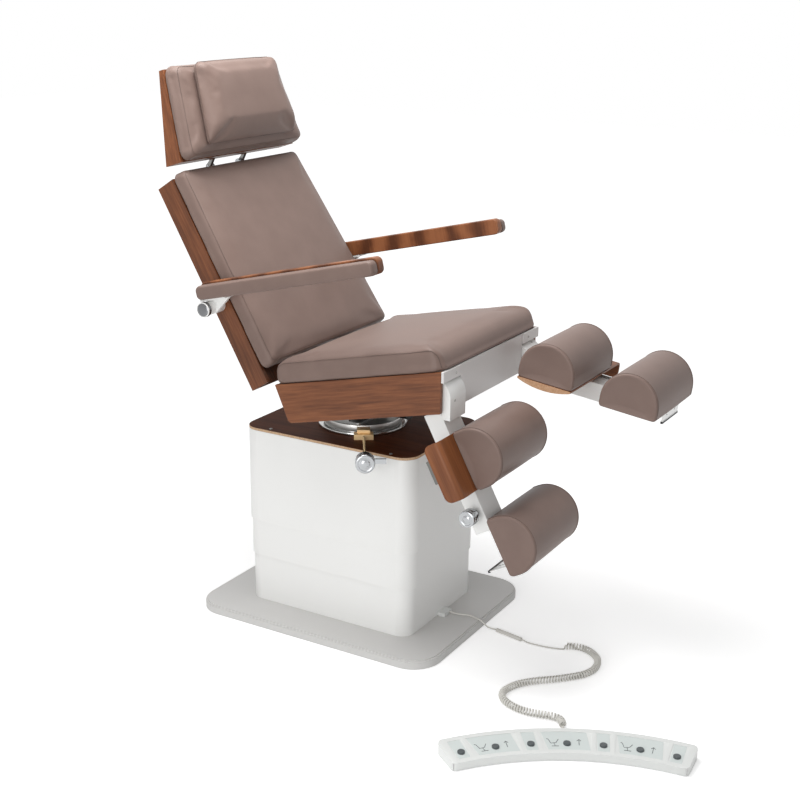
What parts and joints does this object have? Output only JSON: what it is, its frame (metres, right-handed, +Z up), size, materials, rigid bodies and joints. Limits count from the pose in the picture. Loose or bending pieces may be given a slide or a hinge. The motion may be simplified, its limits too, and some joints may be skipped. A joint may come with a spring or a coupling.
{
  "type": "podiatry chair",
  "caption": "Treatment chair on a lifting, swivelling column, with tilting seat, reclining back, headrest, folding arms, separate leg rests and a floor control.",
  "frame": {"origin": "on the floor, under the lifting column's axis, at the middle of the floor plate's underside", "axes": "+Z up; -Y is the way the person faces; +X is the person's left"},
  "size_m": [0.9655, 1.5381, 1.44],
  "materials": {
    "white_paint": "semi-gloss powder coat",
    "plate_paint": "satin paint",
    "steel": "plain zinc-plated steel",
    "brushed_steel": "turned and brushed",
    "polished_steel": "polished",
    "chrome": "chrome plated",
    "brass": "machined",
    "dark_walnut": "dark stained board, satin",
    "walnut": "walnut veneer, satin lacquer",
    "leather": "taupe upholstery leather",
    "black_plastic": "moulded",
    "button_plastic": "moulded",
    "white_plastic": "moulded",
    "cord_plastic": "soft moulded jacket"
  },
  "bodies": {
    "root": {"base_plate": "plate_paint", "column_cover_lower": "white_paint", "lift_tube_outer": "steel", "cable_outlet": "white_plastic", "pedal_housing": "white_plastic", "cord_lead": "cord_plastic", "cord_sleeve": "cord_plastic", "curly_cord": "cord_plastic", "cord_relief": "cord_plastic"},
    "column_middle": {"column_cover_middle": "white_paint", "lift_tube_middle": "steel"},
    "column_upper": {"column_cover_upper": "white_paint", "column_top_board": "dark_walnut", "lift_tube_inner": "steel", "turntable_flange": "polished_steel", "brake_block": "brass"},
    "brake": {"brake_knob": "chrome"},
    "turret": {"turntable_disc": "brushed_steel", "tilt_yoke": "steel", "tilt_motor": "black_plastic"},
    "seat": {"seat_frame": "steel", "seat_panels": "walnut", "seat_front_plate": "white_paint", "seat_cushion": "leather", "recline_motor": "black_plastic"},
    "recline_drive": {"recline_rod": "chrome"},
    "backrest": {"back_frame": "steel", "back_shell": "walnut", "back_cushion": "leather"},
    "head_carrier": {"head_rods": "chrome"},
    "headrest": {"head_shell": "walnut", "head_cushion": "leather", "head_pillow": "leather"},
    "arm_right": {"arm_bracket_right": "white_paint", "arm_wood_right": "walnut", "arm_pad_right": "leather"},
    "leg_right": {"leg_beam_right": "white_paint", "leg_shell_right": "walnut", "calf_cushion_right": "leather"},
    "leg_extension_right": {"leg_slide_right": "steel", "foot_cushion_right": "leather", "foot_plate_right": "steel"},
    "leg_knob_right": {"clamp_knob_right": "chrome"},
    "arm_left": {"arm_bracket_left": "white_paint", "arm_wood_left": "walnut", "arm_pad_left": "leather"},
    "leg_left": {"leg_beam_left": "white_paint", "leg_shell_left": "walnut", "calf_cushion_left": "leather"},
    "leg_extension_left": {"leg_slide_left": "steel", "foot_cushion_left": "leather", "foot_plate_left": "steel"},
    "leg_knob_left": {"clamp_knob_left": "chrome"},
    "button_1": {"pedal_button_1": "button_plastic"},
    "button_2": {"pedal_button_2": "button_plastic"},
    "button_3": {"pedal_button_3": "button_plastic"},
    "button_4": {"pedal_button_4": "button_plastic"},
    "button_5": {"pedal_button_5": "button_plastic"},
    "button_6": {"pedal_button_6": "button_plastic"},
    "button_7": {"pedal_button_7": "button_plastic"}
  },
  "joints": [
    {"name": "column_lift", "type": "slide", "parent": "root", "child": "column_upper", "axis": [0, 0, 1], "range_m": [-0.22, 0.06]},
    {"name": "column_middle_lift", "type": "slide", "parent": "root", "child": "column_middle", "axis": [0, 0, 1], "range_m": [-0.11, 0.03]},
    {"name": "brake_screw", "type": "hinge", "parent": "column_upper", "child": "brake", "pos_m": [0, 0, 0.5223], "axis": [-0.8387, -0.5446, 0], "range_deg": [0, 90]},
    {"name": "swivel", "type": "hinge", "parent": "column_upper", "child": "turret", "pos_m": [0, 0, 0.53], "axis": [0, 0, 1], "range_deg": [-120, 120]},
    {"name": "seat_tilt", "type": "hinge", "parent": "turret", "child": "seat", "pos_m": [0, 0, 0.625], "axis": [1, 0, 0], "range_deg": [0, 12.2]},
    {"name": "recline", "type": "hinge", "parent": "seat", "child": "backrest", "pos_m": [0, 0.10803, 0.67531], "axis": [1, 0, 0], "range_deg": [-57, 0]},
    {"name": "recline_rod_slide", "type": "slide", "parent": "seat", "child": "recline_drive", "axis": [0, 0.9774, -0.2113], "range_m": [-0.0482, 0]},
    {"name": "head_slide", "type": "slide", "parent": "backrest", "child": "head_carrier", "axis": [0, 0.5402, 0.8415], "range_m": [0, 0.08]},
    {"name": "head_tilt", "type": "hinge", "parent": "head_carrier", "child": "headrest", "pos_m": [0, 0.43518, 1.1664], "axis": [1, 0, 0], "range_deg": [-25, 10]},
    {"name": "arm_fold_right", "type": "hinge", "parent": "backrest", "child": "arm_right", "pos_m": [0, 0.2549, 0.85671], "axis": [1, 0, 0], "range_deg": [-100, 40]},
    {"name": "leg_raise_right", "type": "hinge", "parent": "seat", "child": "leg_right", "pos_m": [0, -0.3475, 0.70729], "axis": [1, 0, 0], "range_deg": [-66.5, 18.5]},
    {"name": "leg_extend_right", "type": "slide", "parent": "leg_right", "child": "leg_extension_right", "axis": [0, -0.4772, -0.8788], "range_m": [0, 0.08]},
    {"name": "leg_clamp_right", "type": "hinge", "parent": "leg_right", "child": "leg_knob_right", "pos_m": [0, -0.46662, 0.43971], "axis": [-1, 0, 0], "range_deg": [0, 180]},
    {"name": "arm_fold_left", "type": "hinge", "parent": "backrest", "child": "arm_left", "pos_m": [0, 0.2549, 0.85671], "axis": [1, 0, 0], "range_deg": [-100, 40]},
    {"name": "leg_raise_left", "type": "hinge", "parent": "seat", "child": "leg_left", "pos_m": [0, -0.3475, 0.70729], "axis": [1, 0, 0], "range_deg": [-12.5, 72.5]},
    {"name": "leg_extend_left", "type": "slide", "parent": "leg_left", "child": "leg_extension_left", "axis": [0, -0.9914, -0.1305], "range_m": [0, 0.08]},
    {"name": "leg_clamp_left", "type": "hinge", "parent": "leg_left", "child": "leg_knob_left", "pos_m": [0, -0.634, 0.64638], "axis": [1, 0, 0], "range_deg": [0, 180]},
    {"name": "button_press_1", "type": "slide", "parent": "root", "child": "button_1", "axis": [0, 0, -1], "range_m": [0, 0.003], "stiffness_N_per_m": 900, "springref_m": -0.001},
    {"name": "button_press_2", "type": "slide", "parent": "root", "child": "button_2", "axis": [0, 0, -1], "range_m": [0, 0.003], "stiffness_N_per_m": 900, "springref_m": -0.001},
    {"name": "button_press_3", "type": "slide", "parent": "root", "child": "button_3", "axis": [0, 0, -1], "range_m": [0, 0.003], "stiffness_N_per_m": 900, "springref_m": -0.001},
    {"name": "button_press_4", "type": "slide", "parent": "root", "child": "button_4", "axis": [0, 0, -1], "range_m": [0, 0.003], "stiffness_N_per_m": 900, "springref_m": -0.001},
    {"name": "button_press_5", "type": "slide", "parent": "root", "child": "button_5", "axis": [0, 0, -1], "range_m": [0, 0.003], "stiffness_N_per_m": 900, "springref_m": -0.001},
    {"name": "button_press_6", "type": "slide", "parent": "root", "child": "button_6", "axis": [0, 0, -1], "range_m": [0, 0.003], "stiffness_N_per_m": 900, "springref_m": -0.001},
    {"name": "button_press_7", "type": "slide", "parent": "root", "child": "button_7", "axis": [0, 0, -1], "range_m": [0, 0.003], "stiffness_N_per_m": 900, "springref_m": -0.001}
  ],
  "couplings": [
    {"joint": "column_middle_lift", "follows": "column_lift", "ratio": 0.5},
    {"joint": "recline_rod_slide", "follows": "recline", "m_per_rad": 0.047918}
  ]
}
